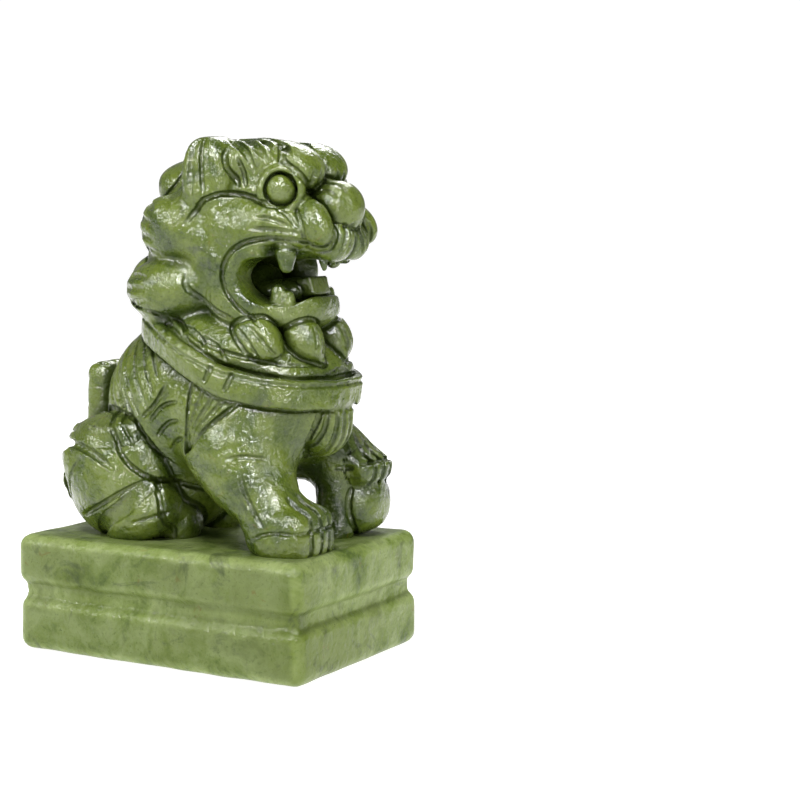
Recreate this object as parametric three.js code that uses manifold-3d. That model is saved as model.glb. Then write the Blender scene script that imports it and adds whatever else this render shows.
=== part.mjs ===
// Guardian lion seated on a two-tier plinth, its left forepaw on a ball: a small figure carved in green stone.
// Millimetres. +Z is up, +X is the way the lion faces and +Y is the lion's left. The origin is the centre of
// the plinth's underside. Each mesh is one carved element, parted from its neighbours along a thin seam.
import * as THREE from "three";
import { mergeVertices } from "three/addons/utils/BufferGeometryUtils.js";
import Module from "manifold-3d";

const wasm = await Module();
wasm.setup();

// ---------- driving dimensions ----------

const BLOCK_LENGTH = 79; // the stone, nose end to tail end
const BLOCK_WIDTH = 53; // the stone, flank to flank
const FIGURE_HEIGHT = 92; // the lion alone, from the plinth's top to its crown
const SEAM = 0.3; // the gap between neighbouring elements

const LOWER_TIER_HEIGHT = 12.8;
const WAIST_HEIGHT = 2.6; // the groove between the two tiers
const UPPER_TIER_HEIGHT = 12;
const WAIST_DEPTH = 2; // how far the groove is cut in
const PLINTH_CORNER_RADIUS = 1.6;
const TIER_EDGE_RADIUS = 1.8;

const BALL_RADIUS = 7.4;
const EYE_RADIUS = 3.3;
const FANG_LENGTH = 5;
const FANG_RADIUS = 2;
const TOE_COUNT = 4;
const TOE_RADIUS = 2.5;
const CHEEK_RADIUS = 6.2;
const BROW_RADIUS = 4.2;
const COLLAR_HEIGHT = 6.2;
const COLLAR_THICKNESS = 4.6;
const TAIL_THICKNESS = 9;

// The figure is drawn for a block of this length, width and height, and is stretched to the block set above.
const DRAWN = new THREE.Vector3(79, 53, 92);

// ---------- worked-out values ----------

const PLINTH_HEIGHT = LOWER_TIER_HEIGHT + WAIST_HEIGHT + UPPER_TIER_HEIGHT;
const STRETCH = new THREE.Vector3(BLOCK_LENGTH, BLOCK_WIDTH, FIGURE_HEIGHT).divide(DRAWN);
const RIGHT = -1; // the lion's right side is -Y
const LEFT = 1;
const SIDES = { right: RIGHT, left: LEFT };
const UP = 1;
const DOWN = -1;
const FINE = [12, 8]; // sphere segments round and down, for the large masses
const PLAIN = [9, 6]; // the same, for the middling ones
const SMALL = [6, 4]; // and for the smallest
const ROLL_SIDES = 8;
const TOOTH_SIDES = 6;
const COLLAR_SIDES = 20;

// ---------- solids ----------

// A closed three.js geometry as a manifold solid.
function solidOf(geometry) {
  const bare = geometry.clone();
  bare.deleteAttribute("normal");
  bare.deleteAttribute("uv");
  const merged = mergeVertices(bare, 1e-4);
  return new wasm.Manifold(
    new wasm.Mesh({
      numProp: 3,
      vertProperties: merged.attributes.position.array,
      triVerts: new Uint32Array(merged.index.array),
    }),
  );
}

// A manifold solid as a three.js geometry.
function geometryOf(solid) {
  const mesh = solid.getMesh();
  const geometry = new THREE.BufferGeometry();
  geometry.setAttribute("position", new THREE.BufferAttribute(new Float32Array(mesh.vertProperties), 3));
  geometry.setIndex(new THREE.BufferAttribute(new Uint32Array(mesh.triVerts), 1));
  geometry.computeVertexNormals();
  return geometry;
}

const join = (...solids) => solids.reduce((whole, next) => whole.add(next));

// A place in the drawing, (x, y, height above the plinth), as a point of the stretched figure.
function place([x, y, z]) {
  return new THREE.Vector3(x, y, z).multiply(STRETCH).setZ(PLINTH_HEIGHT + z * STRETCH.z);
}

// An ellipsoid drawn at a place with its three half sizes, leant about Y and turned about Z in degrees.
// grow swells it by that many millimetres, for cutting its neighbours with a gap.
function ellipsoid(at, half, grow, { lean = 0, turn = 0, detail = FINE } = {}) {
  const shape = new THREE.SphereGeometry(1, ...detail);
  shape.scale(half[0] + grow, half[1] + grow, half[2] + grow);
  shape.rotateY(THREE.MathUtils.degToRad(lean));
  shape.rotateZ(THREE.MathUtils.degToRad(turn));
  shape.scale(STRETCH.x, STRETCH.y, STRETCH.z);
  const centre = place(at);
  shape.translate(centre.x, centre.y, centre.z);
  return solidOf(shape);
}

// A ball of real radius at a place in the drawing.
function ball(at, radius, detail = PLAIN) {
  const shape = new THREE.SphereGeometry(radius, ...detail);
  const centre = at.isVector3 ? at : place(at);
  shape.translate(centre.x, centre.y, centre.z);
  return solidOf(shape);
}

// A round roll of even thickness along a smooth line through drawn places, with rounded ends.
function roll(places, radius) {
  const points = places.map(place);
  radius *= Math.cbrt(STRETCH.x * STRETCH.y * STRETCH.z);
  const outline = new THREE.Shape().absarc(0, 0, radius, 0, 2 * Math.PI);
  const bar = new THREE.ExtrudeGeometry(outline, {
    steps: 2 * (points.length - 1),
    curveSegments: ROLL_SIDES / 2,
    extrudePath: new THREE.CatmullRomCurve3(points),
  });
  const ends = [points[0], points[points.length - 1]].map((end) => ball(end, radius, [ROLL_SIDES, ROLL_SIDES / 2]));
  return join(solidOf(bar), ...ends);
}

// A pointed tooth centred on a drawn place, its point up or down.
function tooth(at, length, radius, up) {
  const shape = new THREE.ConeGeometry(radius, length * STRETCH.z, TOOTH_SIDES);
  shape.rotateX((up * Math.PI) / 2);
  const centre = place(at);
  shape.translate(centre.x, centre.y, centre.z);
  return solidOf(shape);
}

// The same drawn place on one side of the lion.
const onSide = (side, [x, y, z, ...rest]) => [x, side * y, z, ...rest];

// ---------- plinth ----------

function roundedRectangle(length, width, radius) {
  const shape = new THREE.Shape();
  const x = length / 2 - radius;
  const y = width / 2 - radius;
  shape.absarc(x, y, radius, 0, Math.PI / 2);
  shape.absarc(-x, y, radius, Math.PI / 2, Math.PI);
  shape.absarc(-x, -y, radius, Math.PI, 1.5 * Math.PI);
  shape.absarc(x, -y, radius, 1.5 * Math.PI, 2 * Math.PI);
  return shape;
}

// A slab of the plinth with softened edges, standing on a height.
function tier(base, height, inset, edge) {
  const length = BLOCK_LENGTH - 2 * (inset + edge);
  const width = BLOCK_WIDTH - 2 * (inset + edge);
  const outline = roundedRectangle(length, width, PLINTH_CORNER_RADIUS);
  const shape = new THREE.ExtrudeGeometry(outline, {
    depth: height - 2 * edge,
    curveSegments: 3,
    bevelEnabled: edge > 0,
    bevelThickness: edge,
    bevelSize: edge,
    bevelSegments: 2,
  });
  shape.translate(0, 0, base + edge);
  return solidOf(shape);
}

// ---------- body ----------

const torso = (grow) =>
  join(
    ellipsoid([10, 0, 33], [25, 20, 17], grow), // ribcage
    ellipsoid([-8, 0, 30], [18.5, 17.5, 25], grow, { lean: 30 }), // back and rump
  );

const chestBib = (grow) => ellipsoid([25.8, 0, 30.8], [10.6, 9, 12], grow, { detail: PLAIN });

const tail = (grow) => {
  const half = TAIL_THICKNESS / 2 / STRETCH.x;
  return ellipsoid([-36.2 + half, 0, 24], [half, 8, 16], grow, { detail: PLAIN });
};

const haunch = (side) => (grow) =>
  ellipsoid(onSide(side, [-18.5, 12, 15]), [14.8, 9.8, 15.6], grow, { lean: -16 });

const hindFoot = (side) => (grow) =>
  join(
    ellipsoid(onSide(side, [-12, 13.6, 6.6]), [11, 7, 7.6], grow, { lean: -20, detail: PLAIN }),
    ellipsoid(onSide(side, [-2, 9, 4.6]), [6.4, 6.6, 6], grow, { detail: PLAIN }),
  );

const hipTuft = (side) => (grow) =>
  ellipsoid(onSide(side, [-19.4, 14.6, 23.8]), [11, 6.2, 6], grow, { lean: -6, detail: PLAIN });

const haunchTuft = (side) => (grow) =>
  ellipsoid(onSide(side, [-31, 11.6, 14.4]), [4.8, 7.4, 9], grow, { lean: 4, detail: PLAIN });

const standingLeg = (grow) =>
  join(
    ellipsoid(onSide(RIGHT, [14.5, 11.5, 24]), [12.5, 10, 20], grow, { lean: -12, detail: PLAIN }),
    ellipsoid(onSide(RIGHT, [18.5, 13.2, 11.5]), [12.5, 8.4, 12], grow, { lean: 35, detail: PLAIN }),
  );

const RAISED_SOLE = (2 * BALL_RADIUS) / STRETCH.z - 1.4; // the sole of the paw that rests on the ball

const raisedLeg = (grow) =>
  join(
    ellipsoid([14, 11.5, 28], [11.5, 10, 14], grow, { lean: -10, detail: PLAIN }),
    ellipsoid([26, 8, RAISED_SOLE], [6, 6, RAISED_SOLE], grow, { detail: PLAIN }),
    ellipsoid([22, 14, RAISED_SOLE + 6], [9, 7, 6.5], grow, { lean: 10, detail: PLAIN }),
  );

// A paw: a rounded pad with a row of toes along its front, its sole at a drawn height.
function paw(centreX, centreY, sole, half, grow) {
  const toes = Array.from({ length: TOE_COUNT }, (_, i) => {
    const across = ((2 * i + 1) / TOE_COUNT - 1) * (half[1] - TOE_RADIUS / 3);
    const toeAt = [centreX + half[0] - 1.4 * TOE_RADIUS, centreY + across, sole + 1.2 * TOE_RADIUS];
    return ellipsoid(toeAt, [TOE_RADIUS * 1.6, TOE_RADIUS * 0.9, TOE_RADIUS * 1.2], grow, { detail: SMALL });
  });
  return join(ellipsoid([centreX, centreY, sole + half[2]], half, grow, { detail: PLAIN }), ...toes);
}

const standingPaw = (grow) => paw(27.8, -13, 0, [10, 8, 5.4], grow);
const BALL_AT = [29, 14.6];
const raisedPaw = (grow) => paw(27.6, 14, RAISED_SOLE, [8.2, 7, 4.4], grow);

function playBall(grow) {
  const [x, y] = BALL_AT;
  const centre = place([x, y, 0]).setZ(PLINTH_HEIGHT + BALL_RADIUS);
  return ball(centre, BALL_RADIUS + grow, FINE);
}

// ---------- neck ----------

// The collar lies in a plane that dips towards the chest: the drawn ends of its line in the middle plane.
const COLLAR_FRONT = [35, 35];
const COLLAR_BACK = [-16, 48.5];
const COLLAR_HALF_WIDTH = 20.4;

function collarBand(grow) {
  const front = place([COLLAR_FRONT[0], 0, COLLAR_FRONT[1]]);
  const back = place([COLLAR_BACK[0], 0, COLLAR_BACK[1]]);
  const halfLength = front.distanceTo(back) / 2;
  const halfThick = COLLAR_THICKNESS / 2 + grow;
  const halfTall = COLLAR_HEIGHT / 2 + grow;
  const section = new THREE.Path().absellipse(halfLength, 0, halfThick, halfTall, 0, 2 * Math.PI);
  const profile = section.getPoints(6);
  profile[profile.length - 1].copy(profile[0]);
  const ring = new THREE.LatheGeometry(profile, COLLAR_SIDES);
  ring.rotateX(Math.PI / 2);
  ring.scale(1, (COLLAR_HALF_WIDTH * STRETCH.y) / halfLength, 1);
  ring.rotateY(Math.atan2(back.z - front.z, front.x - back.x));
  const middle = front.lerp(back, 0.5);
  ring.translate(middle.x, middle.y, middle.z);
  return solidOf(ring);
}

const neckRuff = (grow) => ellipsoid([8.6, 0, 44], [24.5, 19, 9.5], grow, { lean: 14 });

// Beard curls hang from the jaw onto the ruff, two a side.
const outerBeardCurl = (side) => (grow) =>
  ellipsoid(onSide(side, [20.6, 11.6, 47]), [9.2, 4.6, 4.8], grow, { lean: 38, turn: side * 14, detail: PLAIN });
const innerBeardCurl = (side) => (grow) =>
  ellipsoid(onSide(side, [27.4, 5.4, 46.8]), [7.8, 4.1, 4.8], grow, { lean: 42, turn: side * 12, detail: PLAIN });

// ---------- head ----------

// The mouth as seen from the side, cut right across the head: a round corner that narrows towards the lips.
function mouthHollow() {
  const corner = { x: 21.5, z: 60.5, radius: 5.8 };
  const outline = new THREE.Shape();
  outline.absarc(corner.x, corner.z, corner.radius, Math.PI / 2, 1.5 * Math.PI);
  outline.lineTo(29, 55.4);
  outline.quadraticCurveTo(32, 57, 33, 59.6);
  outline.lineTo(42, 59.6);
  outline.lineTo(42, 64);
  outline.lineTo(30, 65);
  const depth = 2 * DRAWN.y;
  const shape = new THREE.ExtrudeGeometry(outline, { depth, bevelEnabled: false, curveSegments: 8 });
  shape.rotateX(Math.PI / 2);
  shape.translate(0, depth / 2, 0);
  shape.scale(STRETCH.x, STRETCH.y, STRETCH.z);
  shape.translate(0, 0, PLINTH_HEIGHT);
  return solidOf(shape);
}

const neck = (grow) => ellipsoid([0, 0, 61], [17, 14, 19], grow);

const skull = (grow) =>
  join(
    ellipsoid([8, 0, 73], [20, 15, 17.5], grow),
    ellipsoid([16, 0, 82], [14.5, 13, 9.6], grow), // the flat crown and brow
  );

const muzzle = (grow) =>
  join(
    ellipsoid([27, 0, 72.5], [10.5, 11.5, 8], grow, { detail: PLAIN }),
    ellipsoid([33, 0, 69], [5.8, 8.8, 5.2], grow, { detail: PLAIN }), // upper lip
  );

const nose = (grow) => ellipsoid([33, 0, 75.6], [6.2, 7, 6.6], grow, { detail: PLAIN });

const nostrilPad = (side) => (grow) =>
  ellipsoid(onSide(side, [31.4, 8.8, 73.2]), [4.4, 4, 6.2], grow, { lean: -34, detail: PLAIN });

// The cheek is a thick band that sweeps from the muzzle round the corner of the mouth to the jaw.
const cheek = (side) => (grow) => {
  const sweep = [[28, 11, 73], [19, 13.6, 74.5], [11, 14.2, 67], [10.4, 13.8, 57.5], [16, 12, 50.5]];
  return roll(sweep.map((joint) => onSide(side, joint)), CHEEK_RADIUS + grow);
};

const lowerJaw = (grow) =>
  join(
    ellipsoid([17, 0, 52.8], [13, 12.6, 5.6], grow, { detail: PLAIN }),
    ellipsoid([21.4, 0, 54.6], [10.6, 10.4, 5.6], grow, { detail: PLAIN }), // lip
  );

const brow = (side) => (grow) => {
  const ridge = [[10, 9.5, 85.5], [18, 11, 87.2], [23.6, 7.8, 86.6], [27.6, 2.8, 84]];
  return roll(ridge.map((joint) => onSide(side, joint)), BROW_RADIUS + grow);
};

const eye = (side) => (grow) =>
  ellipsoid(onSide(side, [26, 11.8, 80.3]), [EYE_RADIUS, EYE_RADIUS, EYE_RADIUS], grow, { detail: PLAIN });

const ear = (side) => (grow) => ellipsoid(onSide(side, [7.6, 12.6, 83]), [7, 6.4, 8.8], grow, { detail: PLAIN });

const upperManeCurl = (side) => (grow) =>
  ellipsoid(onSide(side, [-1.2, 12, 71.6]), [9.4, 7.8, 7.8], grow, { detail: PLAIN });
const lowerManeCurl = (side) => (grow) =>
  ellipsoid(onSide(side, [-4.2, 12.4, 57.6]), [11, 8, 7.8], grow, { detail: PLAIN });
const backManeCurl = (at, half) => (grow) => ellipsoid(at, half, grow, { detail: PLAIN });

const upperFang = (side) => (grow) =>
  tooth(onSide(side, [26.4, 10.6, 64.7]), FANG_LENGTH + 2 * grow, FANG_RADIUS + grow, DOWN);
const lowerFang = (side) => (grow) =>
  tooth(onSide(side, [22.5, 10.4, 57.6]), FANG_LENGTH + 2 * grow, FANG_RADIUS + grow, UP);
const upperFrontTeeth = (grow) => ellipsoid([32.8, 0, 64.8], [2.8, 5.4, 2.4], grow, { detail: PLAIN });
const lowerFrontTeeth = (grow) => ellipsoid([27.6, 0, 59.6], [2.4, 4.6, 2.2], grow, { detail: PLAIN });
const tongue = (grow) => ellipsoid([16.6, 0, 59.6], [9.6, 6, 6], grow, { detail: PLAIN });

// ---------- the elements, in carving order: each one gives way to every one before it ----------

const OPEN = { opened: true }; // the mouth is cut out of this element
const rightAndLeft = (name, shape, options) =>
  Object.entries(SIDES).map(([label, side]) => [`${name}_${label}`, shape(side), options]);

const elements = [
  ["plinth_upper_tier", () => tier(LOWER_TIER_HEIGHT + WAIST_HEIGHT, UPPER_TIER_HEIGHT, 0, TIER_EDGE_RADIUS)],
  ["plinth_waist", () => tier(LOWER_TIER_HEIGHT, WAIST_HEIGHT, WAIST_DEPTH, 0)],
  ["plinth_lower_tier", () => tier(0, LOWER_TIER_HEIGHT, 0, TIER_EDGE_RADIUS)],
  ["tongue", tongue],
  ["upper_front_teeth", upperFrontTeeth],
  ["lower_front_teeth", lowerFrontTeeth],
  ...rightAndLeft("upper_fang", upperFang),
  ...rightAndLeft("lower_fang", lowerFang),
  ["torso", torso],
  ...rightAndLeft("haunch", haunch),
  ["ball", playBall],
  ["front_leg_right", standingLeg],
  ["front_leg_left", raisedLeg],
  ["front_paw_right", standingPaw],
  ["front_paw_left", raisedPaw],
  ["tail", tail],
  ["chest_bib", chestBib],
  ...rightAndLeft("hind_foot", hindFoot),
  ...rightAndLeft("hip_tuft", hipTuft),
  ...rightAndLeft("haunch_tuft", haunchTuft),
  ["neck_ruff", neckRuff],
  ["collar_band", collarBand],
  ["skull", skull, OPEN],
  ["neck", neck, OPEN],
  ["muzzle", muzzle, OPEN],
  ["lower_jaw", lowerJaw, OPEN],
  ["nose", nose],
  ...rightAndLeft("cheek", cheek, OPEN),
  ...rightAndLeft("nostril_pad", nostrilPad),
  ...rightAndLeft("brow", brow),
  ...rightAndLeft("eye", eye),
  ...rightAndLeft("ear", ear),
  ["mane_curl_back_upper", backManeCurl([-5, 0, 81], [8.6, 9.6, 7])],
  ["mane_curl_back_middle", backManeCurl([-10, 0, 71], [8.6, 9.6, 8])],
  ["mane_curl_back_lower", backManeCurl([-13, 0, 57], [9, 10.4, 8.4])],
  ...rightAndLeft("mane_curl_upper", upperManeCurl),
  ...rightAndLeft("mane_curl_lower", lowerManeCurl),
  ...rightAndLeft("beard_curl_outer", outerBeardCurl),
  ...rightAndLeft("beard_curl_inner", innerBeardCurl),
];

// ---------- the scene ----------

const stone = new THREE.MeshStandardMaterial({ color: 0x7a9a4c, roughness: 0.25, metalness: 0 });

const statue = new THREE.Group();
statue.name = "foo_dog_statue";
const mouth = mouthHollow();
const earlier = [];
for (const [name, shape, { opened } = {}] of elements) {
  const parted = earlier.reduce((rest, neighbour) => rest.subtract(neighbour), shape(0));
  const cut = opened ? parted.subtract(mouth) : parted;
  earlier.push(shape(SEAM));
  const mesh = new THREE.Mesh(geometryOf(cut), stone.clone());
  mesh.name = name;
  statue.add(mesh);
}

export default statue;
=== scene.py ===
"""Looks of the seated guardian lion carved in green stone.

The lion and its plinth are sculpted as signed distances on a grid, the way a carver works: rough masses
first, then each element cut free with a crease round it, then engraved lines. Each CAD node gets its own
piece of the one continuous stone surface. The sculpt is drawn in millimetres in a block of DRAWN size, with
x along the lion, y to its left and z up from the plinth's top, and is scaled to the frame's own sizes.
"""

import math

import bpy
import numpy as np
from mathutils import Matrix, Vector


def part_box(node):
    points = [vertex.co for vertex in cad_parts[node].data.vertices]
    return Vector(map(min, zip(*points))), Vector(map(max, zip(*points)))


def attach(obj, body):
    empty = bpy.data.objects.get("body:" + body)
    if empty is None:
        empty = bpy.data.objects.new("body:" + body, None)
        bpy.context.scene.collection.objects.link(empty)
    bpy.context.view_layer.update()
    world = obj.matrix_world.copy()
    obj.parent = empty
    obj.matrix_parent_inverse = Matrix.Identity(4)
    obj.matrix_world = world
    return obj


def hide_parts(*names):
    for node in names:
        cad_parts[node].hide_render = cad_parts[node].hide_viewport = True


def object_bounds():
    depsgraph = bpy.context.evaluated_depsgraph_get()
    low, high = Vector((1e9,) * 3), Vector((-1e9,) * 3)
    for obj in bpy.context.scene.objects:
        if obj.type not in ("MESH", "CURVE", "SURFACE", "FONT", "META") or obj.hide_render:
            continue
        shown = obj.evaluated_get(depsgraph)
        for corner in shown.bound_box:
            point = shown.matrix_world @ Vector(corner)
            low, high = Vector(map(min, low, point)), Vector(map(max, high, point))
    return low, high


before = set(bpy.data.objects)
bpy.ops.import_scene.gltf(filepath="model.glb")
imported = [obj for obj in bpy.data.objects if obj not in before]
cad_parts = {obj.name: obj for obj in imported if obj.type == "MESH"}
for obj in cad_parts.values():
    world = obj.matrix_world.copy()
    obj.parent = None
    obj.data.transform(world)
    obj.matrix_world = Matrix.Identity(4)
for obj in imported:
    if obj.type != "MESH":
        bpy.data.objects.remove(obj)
CAD_LOW, CAD_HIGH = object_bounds()

# ---------- driving values ----------

DRAWN_LENGTH, DRAWN_WIDTH, DRAWN_HEIGHT = 79.0, 53.0, 91.6  # mm, the block the figure is drawn for
VOXEL, PLINTH_VOXEL = 0.38, 0.7  # mm, the grids that the figure and the plinth are sculpted on
FIGURE_GRID = ((-42, -28.5, -1.2), (42, 28.5, 94))  # mm, the figure's grid, corner to corner
PLINTH_MARGIN = 1.4  # mm of grid above and below the plinth
FAR = 6.0  # mm, distances beyond this don't matter
ADD_MARGIN, CUT_MARGIN = 3.5, 2.0  # mm of stone round an added or a cut solid that it can change
CREASE = 0.85  # of the drawn width of the grooves round elements
CUT_WIDTH, CUT_DEPTH = 0.72, 0.9  # the carver's point: how wide and deep it cuts what is drawn
CUT_SPACING, SOLID_SPACING = 0.6, 3.0  # mm between the points of a cut line, and of a bar's middle line
CUT_SOFT, CUT_REACH = 0.2, 1.2  # mm over which a cut's edge is softened, and round it that it can change
MARCH_STEP = 0.25  # mm, the steps in which a line is laid onto the stone
HOLLOW_STEPS = ((0.8, 0.16), (1.8, 0.24), (4.5, 0.28), (9.0, 0.32))  # (mm out from the surface, weight)
EDGE_SHARE = 0.192  # of a blurred cell that an element owns where its piece ends; pieces overlap below 0.5
BLUR_WIDTH = 3  # voxels over which a blurred ownership runs out
BLUR_REACH = 3  # voxels round an element that its piece is looked for in
INSET_STEP = 0.02  # mm between the shared surfaces of neighbouring pieces

LEFT, RIGHT = 1, -1
SIDES = {"right": RIGHT, "left": LEFT}

# ---------- the frame ----------

PLINTH_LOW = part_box("plinth_lower_tier")[0]
PLINTH_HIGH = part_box("plinth_upper_tier")[1]
SCALE = np.array(
    [
        (PLINTH_HIGH.x - PLINTH_LOW.x) / DRAWN_LENGTH,
        (PLINTH_HIGH.y - PLINTH_LOW.y) / DRAWN_WIDTH,
        (CAD_HIGH.z - PLINTH_HIGH.z) / DRAWN_HEIGHT,
    ]
)
ORIGIN = np.array([0.0, 0.0, PLINTH_HIGH.z])


def to_frame(points):
    """Drawn millimetres to the frame's metres."""
    return points * SCALE + ORIGIN


def to_drawing(point):
    """A point of the frame, in metres, as drawn millimetres."""
    return (np.array(point) - ORIGIN) / SCALE


def node_box(node):
    """The low and high corners of a CAD node, as drawn millimetres."""
    low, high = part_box(node)
    return to_drawing(low), to_drawing(high)


# ---------- solids as signed distances ----------


def turning(lean, turn):
    """Rotation matrix: lean about Y, then turn about Z, in degrees."""
    a, b = math.radians(lean), math.radians(turn)
    about_y = np.array([[math.cos(a), 0, math.sin(a)], [0, 1, 0], [-math.sin(a), 0, math.cos(a)]])
    about_z = np.array([[math.cos(b), -math.sin(b), 0], [math.sin(b), math.cos(b), 0], [0, 0, 1]])
    return about_z @ about_y


def along_axes(spin, centre, x, y, z):
    """Distances from a centre along a turned solid's own axes."""
    d = x - centre[0], y - centre[1], z - centre[2]
    return [spin[0, i] * d[0] + spin[1, i] * d[1] + spin[2, i] * d[2] for i in range(3)]


def blob(centre, half, lean=0, turn=0, power=2.0):
    """An ellipsoid, or with a higher power a squarer one.

    Like every solid here, it is given as (low corner, high corner, distance function).
    """
    centre, half = np.array(centre, float), np.array(half, float)
    spin = turning(lean, turn)
    reach = np.abs(spin) @ half

    def distance(x, y, z):
        local = along_axes(spin, centre, x, y, z)
        near = sum(np.abs(local[i] / half[i]) ** power for i in range(3)) ** (1 / power)
        slope = np.sqrt(sum((local[i] / half[i] ** 2) ** 2 for i in range(3)))
        return near * (near - 1) / np.maximum(slope, 1e-3)

    return centre - reach, centre + reach, distance


def smooth_line(points, spacing=CUT_SPACING):
    """A Catmull-Rom line through the points, resampled at an even spacing."""
    points = np.array(points, float)
    if len(points) == 2:
        rough = points
    else:
        padded = np.vstack([2 * points[0] - points[1], points, 2 * points[-1] - points[-2]])
        t = np.linspace(0, 1, 9)[:-1, None]
        rough = []
        for a, b, c, d in zip(padded, padded[1:], padded[2:], padded[3:]):
            bend = (2 * a - 5 * b + 4 * c - d) * t**2 + (3 * b - a - 3 * c + d) * t**3
            rough.append(0.5 * (2 * b + (c - a) * t + bend))
        rough = np.vstack([*rough, points[-1:]])
    run = np.r_[0, np.cumsum(np.linalg.norm(np.diff(rough[:, :3], axis=0), axis=1))]
    count = max(2, int(run[-1] / spacing) + 1)
    at = np.linspace(0, run[-1], count)
    return np.stack([np.interp(at, run, rough[:, i]) for i in range(rough.shape[1])], 1)


def roll(points, flat=1.0):
    """A rounded bar along a smooth line of (x, y, z, radius); flat squashes it across Y."""
    line = smooth_line(points, SOLID_SPACING)
    low = (line[:, :3] - line[:, 3:]).min(0)
    high = (line[:, :3] + line[:, 3:]).max(0)

    def distance(x, y, z):
        best = None
        for (ax, ay, az, ar), (bx, by, bz, br) in zip(line, line[1:]):
            ux, uy, uz = bx - ax, (by - ay) / flat, bz - az
            px, py, pz = x - ax, (y - ay) / flat, z - az
            along = np.clip((px * ux + py * uy + pz * uz) / (ux * ux + uy * uy + uz * uz + 1e-9), 0, 1)
            gap = np.sqrt((px - along * ux) ** 2 + (py - along * uy) ** 2 + (pz - along * uz) ** 2)
            gap -= ar + (br - ar) * along
            best = gap if best is None else np.minimum(best, gap)
        return best * min(1.0, flat)

    return low, high, distance


def strap(points, thick, tall, power=3.0):
    """A flat band standing upright along a smooth line of (x, y, z)."""
    line = smooth_line(points, SOLID_SPACING)
    pad = np.array([thick, thick, tall])

    def distance(x, y, z):
        best = None
        for a, b in zip(line, line[1:]):
            u = b - a
            px, py, pz = x - a[0], y - a[1], z - a[2]
            along = np.clip((px * u[0] + py * u[1] + pz * u[2]) / (u @ u), 0, 1)
            flat = np.sqrt((px - along * u[0]) ** 2 + (py - along * u[1]) ** 2) / thick
            high = np.abs(pz - along * u[2]) / tall
            gap = ((flat**power + high**power) ** (1 / power) - 1) * thick
            best = gap if best is None else np.minimum(best, gap)
        return best

    return line.min(0) - pad, line.max(0) + pad, distance


def ring(centre, facing, radius, tube):
    """A torus round a facing direction."""
    centre, facing = np.array(centre, float), np.array(facing, float) / np.linalg.norm(facing)
    reach = radius + tube

    def distance(x, y, z):
        d = [x - centre[0], y - centre[1], z - centre[2]]
        off = sum(d[i] * facing[i] for i in range(3))
        flat = np.sqrt(np.maximum(sum(d[i] ** 2 for i in range(3)) - off**2, 0))
        return np.sqrt((flat - radius) ** 2 + off**2) - tube

    return centre - reach, centre + reach, distance


def slab(centre, half, radius, lean=0, turn=0):
    """A box with rounded edges."""
    centre, half = np.array(centre, float), np.array(half, float)
    spin = turning(lean, turn)
    reach = np.abs(spin) @ half

    def distance(x, y, z):
        local = along_axes(spin, centre, x, y, z)
        q = [np.abs(local[i]) - (half[i] - radius) for i in range(3)]
        out = np.sqrt(sum(np.maximum(a, 0) ** 2 for a in q))
        return out + np.minimum(np.maximum(np.maximum(q[0], q[1]), q[2]), 0) - radius

    return centre - reach, centre + reach, distance


def smooth_min(a, b, k):
    """The smaller of two distances, run together over k."""
    if k <= 0:
        return np.minimum(a, b)
    h = np.clip(0.5 + 0.5 * (b - a) / k, 0, 1)
    return b + (a - b) * h - k * h * (1 - h)


def melt(k, *solids):
    """Several solids run together over a distance k."""
    low = np.min([s[0] for s in solids], 0)
    high = np.max([s[1] for s in solids], 0)

    def distance(x, y, z):
        whole = solids[0][2](x, y, z)
        for _, _, other in solids[1:]:
            whole = smooth_min(whole, other(x, y, z), k)
        return whole

    return low, high, distance


# ---------- the stone ----------


# waves that bend x along (z, y), y along (x, z) and z along (x, y): (height in mm, two slopes in 1/mm, start)
BENDS = (
    ((0.28, 0.21, 0.13, 0.4), (0.13, -0.37, 0.61, 1.1)),
    ((0.28, 0.17, 0.23, 2.2), (0.13, 0.47, 0.53, 0.7)),
    ((0.22, 0.19, -0.15, 1.3), (0.10, 0.57, 0.49, 2.9)),
)


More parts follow.
